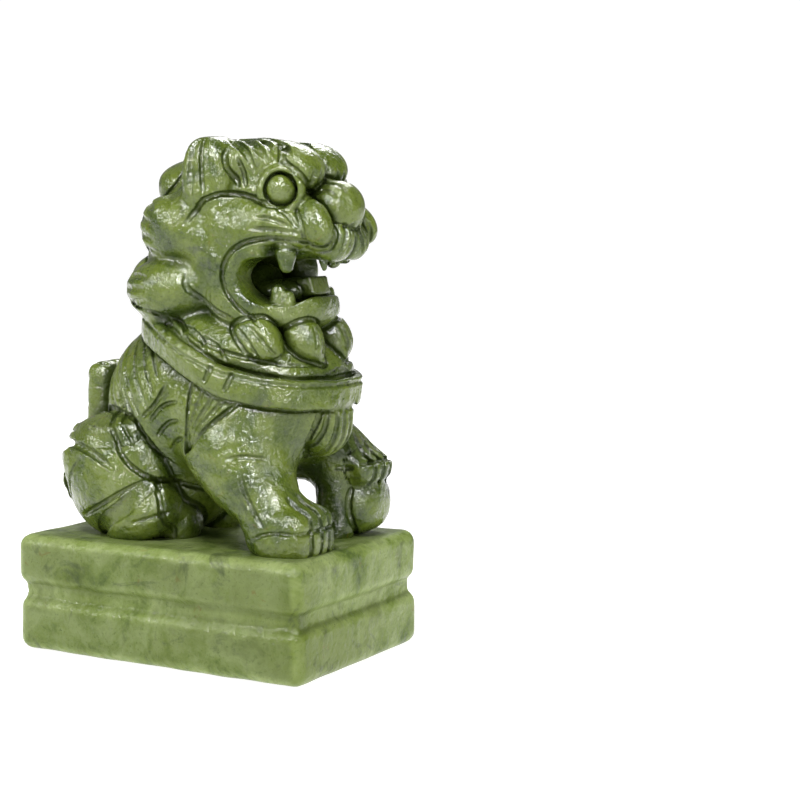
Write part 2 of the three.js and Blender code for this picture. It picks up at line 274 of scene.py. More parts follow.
class Stone:
    """The sculpt: distances on a grid, and which element owns each cell."""

    def __init__(self, low, high, voxel, waver=1.0):
        self.low, self.voxel = np.array(low, float), voxel
        self.shape = tuple(int(n) for n in np.ceil((np.array(high) - self.low) / voxel) + 1)
        axes = [self.low[i] + voxel * np.arange(self.shape[i]) for i in range(3)]
        x, y, z = (a.astype(np.float32) for a in np.meshgrid(*axes, indexing="ij"))
        # Nothing is cut by hand quite true: the whole drawing is bent by a fraction of a millimetre.
        bends = [
            sum(height * np.sin(p * a + q * b + start) for height, p, q, start in waves)
            for (a, b), waves in zip(((z, y), (x, z), (x, y)), BENDS)
        ]
        self.x, self.y, self.z = (axis + waver * bend for axis, bend in zip((x, y, z), bends))
        self.d = np.full(self.shape, FAR, np.float32)
        self.owner = np.full(self.shape, -1, np.int8)
        self.nearest = np.full(self.shape, FAR, np.float32)
        self.names, self.windows = [], {}

    def window(self, low, high, margin):
        """The cells of a box with a margin, as slices."""
        start = np.floor((np.array(low) - margin - self.low) / self.voxel).astype(int)
        stop = np.ceil((np.array(high) + margin - self.low) / self.voxel).astype(int) + 1
        start, stop = np.clip(start, 0, self.shape), np.clip(stop, 0, self.shape)
        return tuple(slice(a, b) for a, b in zip(start, stop))

    def add(self, name, solid, blend=0.8, crease=0.0):
        """Adds an element. blend runs it into the stone; crease cuts a groove of that radius round it."""
        low, high, distance = solid
        w = self.window(low, high, ADD_MARGIN)
        d = distance(self.x[w], self.y[w], self.z[w]).astype(np.float32)
        before = self.d[w]
        joined = smooth_min(before, d, blend)
        if crease:
            joined = np.maximum(joined, CREASE * crease - np.sqrt(before**2 + d**2))
        self.d[w] = joined
        if name not in self.names:
            self.names.append(name)
        index = self.names.index(name)
        owner, nearest = self.owner[w], self.nearest[w]
        claim = (d < nearest) & ((nearest > 0) | (owner == index))
        owner[claim] = index
        nearest[claim] = d[claim]
        self.windows[name] = tuple(
            slice(min(a.start, b.start), max(a.stop, b.stop))
            for a, b in zip(w, self.windows.get(name, w))
        )

    def cut(self, solid, blend=0.6):
        """Takes a solid out of the stone, its edge softened over blend."""
        low, high, distance = solid
        w = self.window(low, high, CUT_MARGIN)
        d = distance(self.x[w], self.y[w], self.z[w]).astype(np.float32)
        self.d[w] = -smooth_min(-self.d[w], d, blend)

    def value(self, points):
        """The distance at drawn points, between the grid's."""
        at = (np.array(points) - self.low) / self.voxel
        cell = np.clip(np.floor(at).astype(int), 0, np.array(self.shape) - 2)
        f = np.clip(at - cell, 0, 1)
        total = 0
        for corner in np.ndindex(2, 2, 2):
            weight = np.prod([f[:, i] if corner[i] else 1 - f[:, i] for i in range(3)], 0)
            total = total + weight * self.d[tuple((cell + corner).T)]
        return total

    def slope(self, points):
        """The outward direction at drawn points."""
        step = 0.7 * self.voxel
        out = np.stack([self.value(points + e * step) - self.value(points - e * step) for e in np.eye(3)], 1)
        return out / np.maximum(np.linalg.norm(out, axis=1, keepdims=True), 1e-6)

    def hollowness(self, points):
        """How deep in a groove or corner points of the surface lie: 0 in the open, 1 well inside."""
        out = self.slope(points)
        total = 0
        for step, weight in HOLLOW_STEPS:
            open_gap = min(step, FAR)
            total = total + weight * np.clip(1 - self.value(points + out * step) / open_gap, 0, 1)
        return total

    def onto(self, points, towards, reach=30.0):
        """Moves points along a direction, from reach before to reach beyond, to where they meet the stone."""
        towards = np.broadcast_to(towards, np.shape(points)).astype(float)
        points = np.array(points, float) - towards * reach
        done = np.zeros(len(points), bool)
        for _ in range(int(2 * reach / MARCH_STEP)):
            done |= self.value(points) <= 0
            if done.all():
                break
            points[~done] += towards[~done] * MARCH_STEP
        return points, done

    def engrave(self, points, towards, radius=0.55, depth=0.45, taper=True, reach=30.0):
        """Cuts a line along points laid onto the stone from outside; taper fades it out at its ends.

        towards is a direction, or a function that gives each point its own.
        """
        line = smooth_line(points)
        line, met = self.onto(line, towards(line) if callable(towards) else towards, reach)
        line = line[met]
        if len(line) < 2:
            return
        fade = np.ones(len(line))
        if taper:  # shallower and narrower towards both ends
            share = np.clip(np.linspace(0, 1, len(line)), 0.02, 0.98)
            fade = np.minimum(1, np.sqrt(np.sin(math.pi * share)) * 1.25)
        deep = CUT_DEPTH * depth * fade
        wide = CUT_WIDTH * radius * (0.6 + 0.4 * fade)
        line = line + self.slope(line) * (wide - deep)[:, None]
        self.channel(line, wide)

    def channel(self, line, wide):
        """Cuts a round-bottomed channel along a line, with a radius at each of its points."""
        for a, b, ra, rb in zip(line, line[1:], wide, wide[1:]):
            w = self.window(np.minimum(a, b), np.maximum(a, b), max(ra, rb) + CUT_REACH)
            px, py, pz = (self.low[i] + self.voxel * np.arange(w[i].start, w[i].stop) - a[i] for i in range(3))
            px, py, pz = px[:, None, None], py[None, :, None], pz[None, None, :]
            u = b - a
            along = np.clip((px * u[0] + py * u[1] + pz * u[2]) / (u @ u + 1e-9), 0, 1)
            gap = np.sqrt((px - along * u[0]) ** 2 + (py - along * u[1]) ** 2 + (pz - along * u[2]) ** 2)
            gap = (gap - ra - (rb - ra) * along).astype(np.float32)
            self.d[w] = -smooth_min(-self.d[w], gap, CUT_SOFT)


# ---------- from stone to pieces ----------


def surface_net(d, low, voxel):
    """The zero surface of a grid of distances: vertices and quads facing outwards."""
    inside = d < 0
    corner_slices = [tuple(slice(i, n - 1 + i) for i, n in zip(c, d.shape)) for c in np.ndindex(2, 2, 2)]
    count = sum(inside[s].astype(np.int8) for s in corner_slices)
    cells = np.argwhere((count > 0) & (count < 8))
    index = np.full(count.shape, -1, np.int64)
    index[tuple(cells.T)] = np.arange(len(cells))
    corners = np.array(list(np.ndindex(2, 2, 2)))
    values = np.stack([d[tuple((cells + c).T)] for c in corners], 1)
    total, hits = np.zeros((len(cells), 3)), np.zeros(len(cells))
    for i in range(8):
        for axis in range(3):
            if corners[i][axis]:
                continue
            j = i + (4, 2, 1)[axis]
            a, b = values[:, i], values[:, j]
            crossed = (a < 0) != (b < 0)
            t = np.where(crossed, a / np.where(crossed, a - b, 1), 0)
            point = corners[i] + t[:, None] * (corners[j] - corners[i])
            total += point * crossed[:, None]
            hits += crossed
    vertices = low + voxel * (cells + total / hits[:, None])
    quads = []
    for axis in range(3):
        u, v = (axis + 1) % 3, (axis + 2) % 3
        first, second = [slice(1, -1)] * 3, [slice(1, -1)] * 3
        first[axis], second[axis] = slice(0, -1), slice(1, None)
        a, b = inside[tuple(first)], inside[tuple(second)]
        at = np.argwhere(a != b)
        out = a[tuple(at.T)]
        at = at + 1
        at[:, axis] -= 1
        back_u, back_v = np.eye(3, dtype=int)[u], np.eye(3, dtype=int)[v]
        around = [index[tuple((at - s).T)] for s in (back_u + back_v, back_v, 0 * back_u, back_u)]
        around = np.stack(around, 1)
        quads.append(np.where(out[:, None], around, around[:, ::-1]))
    return vertices, np.vstack(quads)


def largest_part(vertices, quads):
    """Only the largest connected part of a mesh."""
    mark = np.arange(len(vertices))
    for _ in range(400):
        lowest = mark[quads].min(1)
        new = mark.copy()
        np.minimum.at(new, quads.ravel(), np.repeat(lowest, 4))
        new = new[new]
        if (new == mark).all():
            break
        mark = new
    kept = np.bincount(mark[quads[:, 0]], minlength=len(vertices)).argmax()
    quads = quads[mark[quads[:, 0]] == kept]
    used, renumbered = np.unique(quads, return_inverse=True)
    return vertices[used], renumbered.reshape(quads.shape)


def blurred(mask, times=2):
    """A mask as shares from 0 to 1, softened over the cells next to its edge."""
    m = mask.astype(np.float32)
    for _ in range(times):
        for axis in range(3):
            at = np.arange(m.shape[axis])
            before = m.take(np.maximum(at - 1, 0), axis)
            after = m.take(np.minimum(at + 1, at[-1]), axis)
            m = (before + 2 * m + after) / 4
    return m


def insets(stone):
    """A small inset for each element, different from those of its neighbours."""
    count = len(stone.names)
    touch = np.zeros((count + 1, count + 1), bool)
    for axis in range(3):
        a = stone.owner.take(range(0, stone.shape[axis] - 1), axis)
        b = stone.owner.take(range(1, stone.shape[axis]), axis)
        m = a != b
        touch[a[m], b[m]] = touch[b[m], a[m]] = True
    levels = []
    for i in range(count):
        taken = {levels[j] for j in range(i) if touch[i, j]}
        levels.append(next(level for level in range(count) if level not in taken))
    return [level * INSET_STEP for level in levels]


def add_object(name, data):
    made = bpy.data.objects.new(name, data)
    bpy.context.scene.collection.objects.link(made)
    return made


def piece(name, stone, inset, material):
    """The part of the stone that stands for one CAD node, as a Blender object."""
    index = stone.names.index(name)
    w = tuple(
        slice(max(0, s.start - BLUR_REACH), min(n, s.stop + BLUR_REACH))
        for s, n in zip(stone.windows[name], stone.shape)
    )
    region = blurred(stone.owner[w] == index)
    limit = (EDGE_SHARE - region) * BLUR_WIDTH * stone.voxel
    d = np.maximum(stone.d[w] + inset, limit)
    d = np.pad(d, 1, constant_values=1.0)
    low = stone.low + stone.voxel * (np.array([s.start for s in w]) - 1)
    vertices, quads = largest_part(*surface_net(d, low, stone.voxel))
    mesh = bpy.data.meshes.new(f"{name}_stone")
    mesh.vertices.add(len(vertices))
    mesh.vertices.foreach_set("co", to_frame(vertices).astype(np.float32).ravel())
    mesh.loops.add(quads.size)
    mesh.loops.foreach_set("vertex_index", quads.ravel().astype(np.int32))
    mesh.polygons.add(len(quads))
    mesh.polygons.foreach_set("loop_start", np.arange(0, quads.size, 4, dtype=np.int32))
    mesh.update(calc_edges=True)
    mesh.validate()
    mesh.polygons.foreach_set("use_smooth", np.ones(len(mesh.polygons), bool))
    mesh.normals_split_custom_set_from_vertices(stone.slope(vertices).tolist())
    # how deep each point lies in a groove or corner, which the material paints as shade and gives less lacquer
    hollow = mesh.attributes.new("hollow", "FLOAT", "POINT")
    hollow.data.foreach_set("value", stone.hollowness(vertices).astype(np.float32))
    mesh.materials.append(material)
    made = add_object(f"{name}_carved", mesh)
    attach(made, "root")
    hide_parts(name)
    return made


# ---------- the lion ----------

FROM_RIGHT, FROM_FRONT, FROM_BACK = (0, 1, 0), (-1, 0, 0), (1, 0, 0)


def mirrored(side, point):
    """A point drawn on the left, on the side asked for."""
    return [point[0], side * point[1], *point[2:]]


def placing(side):
    """A function that puts points drawn on the left on the side asked for."""
    return lambda *point: mirrored(side, point)


def flank_cut(stone, points, side=None, **how):
    """Engraves a line drawn as (x, z) on one flank, or on both."""
    for s in [side] if side else (RIGHT, LEFT):
        laid = [(x, s * 20, z) for x, z in points]
        stone.engrave(laid, (0, -s, 0), **how)


def towards_point(centre, level=False):
    """For each point, the direction to a centre, or to the upright line through it."""

    def directions(points):
        d = np.array(centre, float) - points
        if level:
            d[:, 2] = 0
        return d / np.linalg.norm(d, axis=1, keepdims=True)

    return directions


def wrap_cut(stone, side, lobe, angles, **how):
    """Engraves a line on a lobe, drawn as (azimuth, elevation) in degrees.

    Azimuth 90 is straight out sideways and 180 straight back.
    """
    centre, half = np.array(mirrored(side, lobe[0])), lobe[1]
    points = []
    for azimuth, elevation in angles:
        a, e = math.radians(azimuth), math.radians(elevation)
        out = np.array([math.cos(e) * math.cos(a), side * math.cos(e) * math.sin(a), math.sin(e)])
        points.append(centre + 1.02 * out * half)
    stone.engrave(points, towards_point(centre), reach=4.0, **how)


def carve_lion():
    """The figure: its masses first, then the mouth, then the engraved lines."""
    stone = Stone(*FIGURE_GRID, VOXEL)
    add_body(stone)
    add_neck(stone)
    add_head(stone)
    add_mane(stone)
    open_mouth(stone)
    engrave_body(stone)
    engrave_collar(stone)
    engrave_head(stone)
    return stone


def add_body(stone):
    torso = melt(
        7,
        blob((10, 0, 33), (24.5, 19, 17)),
        blob((-8, 0, 30), (19.5, 17.5, 25), lean=30),
        blob((-14, 0, 10), (17, 14, 11)),
    )
    stone.add("torso", torso)
    for label, side in SIDES.items():
        at = placing(side)
        haunch = blob(at(-18.5, 12, 14.5), (14.8, 9.8, 15.2), lean=-16, power=2.4)
        stone.add(f"haunch_{label}", haunch, blend=1.0, crease=0.6)
        foot = melt(
            1.2,
            blob(at(-12, 14, 6.2), (11, 6.6, 7.4), lean=-24, power=2.6),
            blob(at(-5.4, 8.4, 3.8), (6.0, 5.4, 5.8), lean=12, power=2.4),
        )
        stone.add(f"hind_foot_{label}", foot, blend=0.6, crease=0.7)
        cap = melt(
            1.6,
            blob(at(-18.6, 11.6, 23.4), (10.6, 9.2, 5.6), lean=-6, power=2.6),
            roll([at(-22, 14, 24.6, 3.4), at(-27, 14.4, 24, 2.4), at(-32.4, 14, 24.4, 1.1)]),
        )
        stone.add(f"hip_tuft_{label}", cap, blend=0.3, crease=0.6)
        # the cap's tip juts out over a notch
        stone.cut(blob(at(-31, 14.5, 20.6), (4.4, 6.4, 1.5), lean=-12))
        leaf = roll([at(-28.8, 12, 17.4, 3.3), at(-31, 11.6, 13.6, 3.9), at(-31.8, 11.6, 8.6, 2.3)], flat=1.7)
        stone.add(f"haunch_tuft_{label}", leaf, blend=0.3, crease=0.6)
    standing_leg = melt(
        5,
        blob((13.8, -11.5, 24.6), (13.0, 10, 17.4), lean=-16),
        roll([(14.4, -13, 22, 9.3), (20.2, -14, 14.6, 8.4), (25.4, -13.6, 9, 7.2)]),
    )
    stone.add("front_leg_right", standing_leg, blend=5)
    raised_leg = melt(
        3,
        blob((14, 11.5, 28), (11.5, 10, 14), lean=-10),
        roll([(15, 11, 26, 8.5), (21, 12.4, 22.4, 8), (26, 13.2, 20, 6.4)]),
        roll([(16, 9, 20.5, 8.2), (21, 9.6, 19, 7)]),
        roll([(26, 9, 20, 6), (27.2, 8.8, 10, 4.6), (27.8, 8.8, 2, 4.6)]),
    )
    stone.add("front_leg_left", raised_leg, blend=4)
    add_right_paw(stone)
    low, high = node_box("ball")
    stone.add("ball", blob((low + high) / 2, (high - low) / 2 + 0.1, power=2.5), blend=0.4, crease=0.6)
    add_left_paw(stone)
    # a plate a little slimmer than its CAD node
    low, high = node_box("tail")
    half = (high - low) / 2 * (0.8, 0.85, 1.0)
    tail = slab((low[0] + half[0] + 0.7, 0, (low[2] + high[2]) / 2), half, 3.4, lean=3)
    stone.add("tail", tail, blend=0.8, crease=0.6)
    stone.add("chest_bib", blob((25.9, 0, 31), (10.3, 8.2, 11.4), power=2.5), blend=1.0, crease=0.4)


def paw_cuts(stone, ys, front, top, sole):
    """Divides a paw into toes, with grooves from behind the knuckles down to the sole."""
    for y in ys:
        knuckle = [(front - 5, y, top + 5), (front - 2, y, top + 2.6), (front + 1, y, top + 1)]
        stone.engrave(knuckle, (-0.5, 0, -0.86), radius=0.9, depth=0.9, reach=3.5)
        claw = [(front + 9, y, top + 0.4), (front + 9, y, sole - 1)]
        stone.engrave(claw, FROM_FRONT, radius=0.9, depth=0.9, taper=False)


def add_right_paw(stone):
    paw = melt(
        2.2,
        blob((28.2, -13, 4.4), (8.8, 8.6, 6.2), power=3.0),
        blob((30.4, -12.8, 3.8), (5.6, 8.4, 5.6), power=4),
    )
    stone.add("front_paw_right", paw, blend=3)
    paw_cuts(stone, (-16.9, -13.2, -9.6), 35.4, 7.4, 0)
    seam = [(24.6, -30, 3.6), (28, -30, 5.0), (31.6, -30, 5.5), (35, -26, 5.4)]
    stone.engrave(seam, FROM_RIGHT, radius=0.6, depth=0.6)
    nails = [(46, -21, 5.4), (46, -12, 5.6), (46, -5, 5.4)]
    stone.engrave(nails, FROM_FRONT, radius=0.7, depth=0.5, taper=False)


def add_left_paw(stone):
    sole = node_box("ball")[1][2] - 1.6  # the paw presses onto the ball
    paw = melt(
        2.0,
        blob((26.6, 13.2, sole + 5.8), (10, 7.4, 4.8), lean=30, power=2.8),
        blob((32.9, 13.6, sole + 2.8), (4.2, 7.2, 2.6), lean=12, power=3.4),
    )
    stone.add("front_paw_left", paw, blend=1.6, crease=0.25)
    paw_cuts(stone, (10.2, 13.6, 17), 35.2, sole + 5, sole + 0.6)
    nails = [(46, 7, sole + 4.4), (46, 14, sole + 4.6), (46, 21, sole + 4.4)]
    stone.engrave(nails, FROM_FRONT, radius=0.6, depth=0.7, taper=False)
    stone.engrave([(29, -5, sole + 3.4), (33.6, -5, sole + 3.4)], FROM_RIGHT, radius=0.6, depth=0.5)


# the collar's middle line on the left side, from the nape to the chest
COLLAR = (
    (-16, 0, 50.5), (-11, 10.5, 49.4), (-3, 16.4, 46.2), (5, 19, 42.2), (13, 19.4, 38.6),
    (21, 18, 36.6), (28, 13.6, 35.2), (33, 7, 34.8), (34.4, 0, 34.8),
)
COLLAR_TALL, COLLAR_THICK = 3.5, 2.3  # mm, half sizes
COLLAR_CENTRE = (8, 0, 42)


def add_neck(stone):
    ruff = melt(2, blob((8.4, 0, 44.4), (24.8, 18.8, 9.8), lean=14), blob((24.8, 0, 39), (9, 14, 4.8)))
    stone.add("neck_ruff", ruff, blend=1.0, crease=0.4)
    halves = [[mirrored(side, p) for p in COLLAR] for side in (RIGHT, LEFT)]
    band = melt(0.3, *[strap(half, COLLAR_THICK, COLLAR_TALL, power=5) for half in halves])
    stone.add("collar_band", band, blend=0.5, crease=0.4)


EYE_AT, EYE_FACING = (25.2, 10.4, 80.2), (0.5, 0.86, 0.08)  # the left one
EYE_RADIUS, SOCKET_RADIUS = 3.45, 3.7


def add_head(stone):
    stone.add("neck", blob((0, 0, 61), (16.5, 14.5, 19)), blend=2)
    skull = melt(4, blob((8, 0, 73), (20, 15, 17)), blob((13.6, 0, 81.6), (14.6, 12.4, 9.9), power=2.7))
    stone.add("skull", skull, blend=3)
    muzzle = melt(
        1.6,
        blob((25.6, 0, 72), (10, 11.4, 7.6), power=2.3),
        blob((33.6, -2.8, 68.8), (5.2, 5.4, 4.9)),
        blob((33.6, 2.8, 68.8), (5.2, 5.4, 4.9)),
    )
    stone.add("muzzle", muzzle, blend=2)
    jaw = melt(
        1.6,
        blob((16.5, 0, 52.6), (13, 12.8, 5.4), power=2.5),
        blob((18.8, 0, 54.2), (12.4, 10.8, 5.6), power=2.7),
    )
    stone.add("lower_jaw", jaw, blend=0.8)
    for label, side in SIDES.items():
        at = placing(side)
        jowl = melt(
            3,
            blob(at(11.5, 10.5, 66), (11, 6.6, 13), lean=-8, power=2.5),
            blob(at(14.5, 10.5, 54.6), (8, 5.6, 6.4), lean=30),
            roll([at(14, 11.2, 73.2, 5.2), at(22, 10.8, 72.8, 5), at(29, 8.4, 71.4, 4.2)]),
        )
        stone.add(f"cheek_{label}", jowl, blend=1.2)
    nose = melt(1.5, blob((33.4, 0, 75.8), (6, 6.6, 6.5)), blob((28.6, 0, 79.6), (5, 4.4, 3.6)))
    stone.add("nose", nose, blend=1.0, crease=0.35)
    for label, side in SIDES.items():
        at = placing(side)
        pad = blob(at(32.4, 8.2, 73), (4.2, 3.8, 6.4), lean=-46, turn=side * 20)
        stone.add(f"nostril_pad_{label}", pad, blend=0.6, crease=0.42)
        ridge = roll([at(8, 9.2, 84.6, 3.6), at(15, 9.8, 86.8, 4.2), at(21, 8.6, 86.6, 4.2)])
        brow = melt(2, ridge, blob(at(21.6, 8.4, 80.6), (8.6, 4.4, 6.6)))
        stone.add(f"brow_{label}", brow, blend=1.8)
        # the eyelids are a ring round a socket, and the eye is a ball in it
        eye_at, facing = np.array(EYE_AT) * (1, side, 1), np.array(EYE_FACING) * (1, side, 1)
        stone.add(f"brow_{label}", ring(eye_at + facing * 1.3, facing, 4.2, 1.2), blend=1.0)
        stone.cut(blob(eye_at + facing * 1.6, [SOCKET_RADIUS] * 3), blend=0.5)
        stone.add(f"eye_{label}", blob(eye_at + facing * 0.3, [EYE_RADIUS] * 3), blend=0.25)
        curl = blob(at(26.2, 5, 85), (6.2, 5.4, 5), lean=34, power=2.3)
        stone.add(f"brow_{label}", curl, blend=0.3, crease=0.6)


# the mouth seen from the side, from its corner to the lips: (x, z, radius)
MOUTH = (
    (20.2, 61, 3.6), (22.4, 60, 5), (26, 59.6, 4.3), (29.4, 60.4, 3.2), (32, 61.4, 2.5), (40, 61.8, 2.4),
)
MOUTH_SPACING = 1.2


def mouth_hollow():
    """The mouth, cut right across the head: a round corner that narrows towards the lips."""
    line = smooth_line([(x, 0, z, r) for x, z, r in MOUTH], MOUTH_SPACING)

    def distance(x, y, z):
        best = None
        for ax, _, az, r in line:
            gap = np.sqrt((x - ax) ** 2 + (z - az) ** 2) - r
            best = gap if best is None else smooth_min(best, gap, 1.0)
        return best

    return np.array([13.0, -24, 53]), np.array([42.0, 24, 68]), distance


def open_mouth(stone):
    for side in SIDES.values():
        # the lip's rim slopes into the mouth
        stone.cut(blob(mirrored(side, (24.4, 18.4, 60.6)), (9.2, 4.6, 7.6), power=2.3))
    stone.cut(mouth_hollow())
    # hollowed out behind the lips
    stone.cut(blob((18.4, 0, 60.4), (9.4, 9.4, 5.6)), blend=1.0)
    # the left corner of the mouth was not cut as far back as the right one
    stone.add("cheek_left", blob((17.4, 10.6, 61.6), (3.8, 3.4, 5.6)), blend=1.5)
    root = melt(2, blob((12.4, 0, 58), (6.6, 5.6, 5.6)), blob((18.6, 0, 57), (9, 6.8, 3.2), lean=-4))
    stone.add("tongue", root, blend=0.4, crease=0.3)
    teeth = [blob((33, 0, 66), (2.6, 5.4, 1.8), power=2.6)]
    for y in (-4.8, -2.4, 0, 2.4, 4.8):
        back = 0.05 * y * y
        teeth.append(roll([(33.6 - back, y, 65.8, 1.6), (34 - back, y, 62.9, 0.7)]))
    stone.add("upper_front_teeth", melt(0.5, *teeth), blend=0.4, crease=0.3)
    block = slab((27, 0.4, 58.4), (2.1, 4.0, 2.2), 0.7, lean=-14)
    stone.add("lower_front_teeth", block, blend=0.4, crease=0.3)
    for label, side in SIDES.items():
        at = placing(side)
        fang = roll([at(26.2, 10, 67, 2.8), at(26.4, 10.2, 64.6, 2.3), at(26.4, 10.2, 63.4, 1.6)])
        stone.add(f"upper_fang_{label}", fang, blend=0.6, crease=0.2)
        rear_cusp = roll([at(23, 8.4, 54, 2.4), at(23, 8.6, 57.4, 1.9)])
        front_cusp = roll([at(25.4, 8.4, 54, 2.2), at(25.6, 8.6, 56.6, 1.5)])
        stone.add(f"lower_fang_{label}", melt(0.8, rear_cusp, front_cusp), blend=0.6, crease=0.2)


# (centre, half sizes), on the left side
EAR = ((8, 12, 83), (6.6, 6.2, 8.8))
UPPER_CURL = ((-1.2, 11.4, 71.6), (9.6, 7.8, 7.8))
LOWER_CURL = ((-4.2, 12, 57.6), (11.2, 8, 7.6))
BACK_CURLS = {
    "upper": ((-5, 0, 80.6), (8.4, 9.4, 6.6)),
    "middle": ((-10, 0, 71), (8.5, 9, 8)),
    "lower": ((-13, 0, 57), (9, 10, 8.4)),
}
# (centre, half sizes, lean, turn, the pointed tip's line)
BEARD_CURLS = {
    "outer": ((19.6, 11.8, 47.6), (7.6, 4.8, 5), 38, 14, ((21, 12, 46, 3.6), (25.4, 10.8, 42.4, 1.6))),
    "inner": ((27, 5.6, 47.2), (6.8, 4.4, 5), 42, 12, ((28.6, 5.4, 45.6, 3.4), (31.4, 4.6, 42, 1.5))),
}


def add_mane(stone):
    for label, side in SIDES.items():
        at = placing(side)
        stone.add(f"ear_{label}", blob(at(*EAR[0]), EAR[1], lean=-6, power=2.6), blend=1.2)
        upper = blob(at(*UPPER_CURL[0]), UPPER_CURL[1], power=2.3)
        stone.add(f"mane_curl_upper_{label}", upper, blend=2.5)
        stone.add(f"mane_curl_lower_{label}", blob(at(*LOWER_CURL[0]), LOWER_CURL[1]), blend=2.0)
        for place, (centre, half, lean, turn, tip) in BEARD_CURLS.items():
            lobe = blob(at(*centre), half, lean=lean, turn=side * turn)
            curl = melt(1.5, lobe, roll([at(*p) for p in tip]))
            stone.add(f"beard_curl_{place}_{label}", curl, blend=0.3, crease=0.55)
    for place, (centre, half) in BACK_CURLS.items():
        stone.add(f"mane_curl_back_{place}", blob(centre, half, power=2.3), blend=1.2, crease=0.5)


# lines cut on both flanks of the body: (radius, depth, points as (x, z))
BODY_CUTS = (
    # round the haunch, over the knee and into the belly
    (0.9, 1.0, ((-18.6, 31), (-15, 24), (-11.6, 18.6), (-6.4, 14.6), (0, 12), (5.6, 10))),
    (0.7, 0.6, ((-15.4, 34.5), (-10.6, 26.6), (-6, 20.6), (-2, 17))),
    (0.6, 0.5, ((-19.6, 36), (-14.4, 28.4), (-9.6, 21))),
    # the knee
    (0.8, 0.8, ((-6.4, 14.4), (-12, 11.2), (-19, 7.4), (-25, 4.6))),
    (0.8, 0.9, ((-6.2, 14.2), (-3.6, 10.4), (-2.6, 5), (-3, 0.4))),
    (0.6, 0.5, ((-9.6, 4.2), (-5, 5.6), (-1.4, 7))),
    (0.6, 0.5, ((-24, 18.6), (-28, 12.6), (-30, 7))),
    # the hip cap's lower edge
    (1.3, 1.1, ((-30, 21.6), (-24, 21), (-18.6, 19), (-14.6, 16.6))),
)
# the back's hair: (x, z, drop)
BACK_HAIR = ((-25, 43, 15), (-21.5, 45, 17), (-18, 46, 17), (-14.5, 46.5, 16), (-11, 46, 12), (-7.5, 45, 8))
# the fan of hair on the shoulder: (x, z, depth)
SHOULDER_FAN = ((6.6, 37, 1.0), (10.2, 35.6, 0.6), (13.4, 34.8, 0.6), (16.4, 34, 0.6), (19.6, 33.2, 1.1))
RIB_AND_LEG_CUTS = (
    # flame hair on the ribs
    (0.8, 0.8, ((-1.6, 36), (-4.6, 31.4), (-8.4, 28.4))),
    (0.7, 0.7, ((2.4, 32.6), (-2, 31.4), (-6, 27.6))),
    (0.7, 0.7, ((2.6, 28.4), (-1, 27.4), (-4.8, 24.2))),
    (0.6, 0.5, ((4.6, 24.6), (1, 23.4), (-2, 21))),
    # elbow, forearm and wrist
    (0.7, 0.6, ((21.4, 18.6), (22.6, 14), (24.6, 10), (27.4, 6.8))),
    (0.6, 0.5, ((18, 21), (22, 21.6), (26, 21))),
)


def engrave_body(stone):
    for radius, depth, points in BODY_CUTS:
        flank_cut(stone, points, radius=radius, depth=depth)
    for x, z, drop in BACK_HAIR:
        line = [(x - 1, z), (x + 0.14 * drop, z - 0.45 * drop), (x + 0.5 * drop, z - drop)]
        flank_cut(stone, line, radius=0.65, depth=0.5)
    for x, z, depth in SHOULDER_FAN:
        flank_cut(stone, [(x, z), (0.45 * x + 3, 0.5 * z + 10.5), (5.2, 21)], radius=0.8, depth=depth)
    for radius, depth, points in RIB_AND_LEG_CUTS:
        flank_cut(stone, points, radius=radius, depth=depth)
    # the tail is a plume: a middle line with strands leaving it on both sides
    stone.engrave([(-46, 0, 41), (-46, 0.6, 30), (-46, 0, 12)], FROM_BACK, radius=0.8, depth=0.8)
    for z in (38, 32, 26, 20):
        for side in (RIGHT, LEFT):
            strand = [(-46, side * 0.8, z - 3), (-46, side * 3, z - 0.6), (-46, side * 5.6, z + 3.4)]
            stone.engrave(strand, FROM_BACK, radius=0.7, depth=0.7)
    # the ribbed bib
    for y in (-6.2, -3.7, -1.2, 1.2, 3.7, 6.2):
        stone.engrave([(42, y, 30.6), (42, y * 1.05, 20)], FROM_FRONT, radius=0.75, depth=0.8)


def beside_collar(side, points, grow_x, grow_y, lift):
    """Points of the collar's line moved outwards, and up by a part of its height."""
    middle = COLLAR_CENTRE[0]
    grown = [(middle + grow_x * (x - middle), grow_y * y, z + lift * COLLAR_TALL) for x, y, z in points]
    return [mirrored(side, p) for p in grown]


def engrave_collar(stone):
    inwards = towards_point(COLLAR_CENTRE, level=True)
    for side in (RIGHT, LEFT):
        at = placing(side)
        rim = beside_collar(side, COLLAR, 1.12, 1.12, 0.55)
        stone.engrave(rim, inwards, radius=0.5, depth=0.42, taper=False, reach=4.0)
        ruff = beside_collar(side, COLLAR[1:-1], 1.04, 1.0, 1.8)
        stone.engrave(ruff, inwards, radius=0.7, depth=0.7, reach=4.0)
        for x, y in ((13.4, 20), (18.6, 18.8)):
            z = 39.6 - 0.28 * (x - 13)
            buckle = [at(x + 0.6, y + 3, z + 1.8), at(x - 1.4, y + 3, z - 2)]
            stone.engrave(buckle, inwards, radius=0.7, depth=0.7, reach=5.0)
        # locks of hair on the ruff
        for x, z in ((-6, 53), (-1, 51.4), (4, 49.6), (9, 47.4)):
            flank_cut(stone, [(x, z), (x + 3.4, z - 1.6), (x + 6.4, z - 5)], side, radius=0.65, depth=0.55)
        # paired lines on the beard curls
        for x, z in ((16.8, 49.4), (19.8, 50)):
            flank_cut(stone, [(x, z), (x + 3.4, z - 3), (x + 5.6, z - 6.4)], side, radius=0.6, depth=0.5)
        for y in (4.2, 6.8):
            stone.engrave([at(40, y, 49.6), at(40, y + 0.8, 44)], FROM_FRONT, radius=0.65, depth=0.6)


